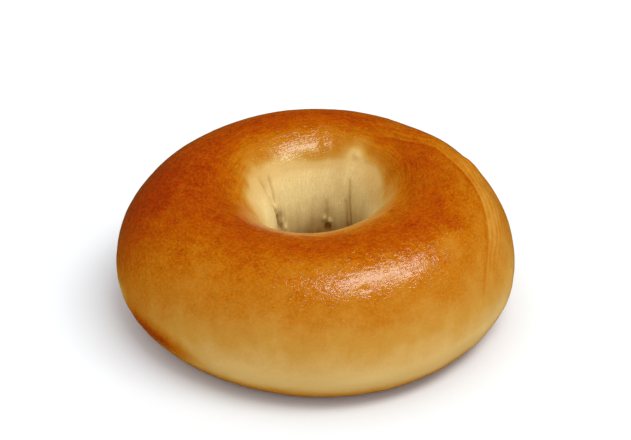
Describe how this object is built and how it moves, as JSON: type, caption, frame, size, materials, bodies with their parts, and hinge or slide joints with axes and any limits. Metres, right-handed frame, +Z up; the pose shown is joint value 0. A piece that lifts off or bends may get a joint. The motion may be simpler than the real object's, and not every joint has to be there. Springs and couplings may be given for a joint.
{
  "type": "bagel",
  "caption": "Plain shiny baked bagel: an uneven ring of golden-brown dough with a pale funnel-shaped hole, lying on its flat underside.",
  "frame": {"origin": "middle of the bagel's box in plan, on the surface that it lies on", "axes": "+Z up, out of the crest of the ring; +X to the right and +Y to the back, with the lapped end of the dough at the back right"},
  "size_m": [0.1142, 0.1112, 0.0416],
  "materials": {
    "crust": null
  },
  "bodies": {
    "root": {"bagel": "crust"}
  },
  "joints": []
}
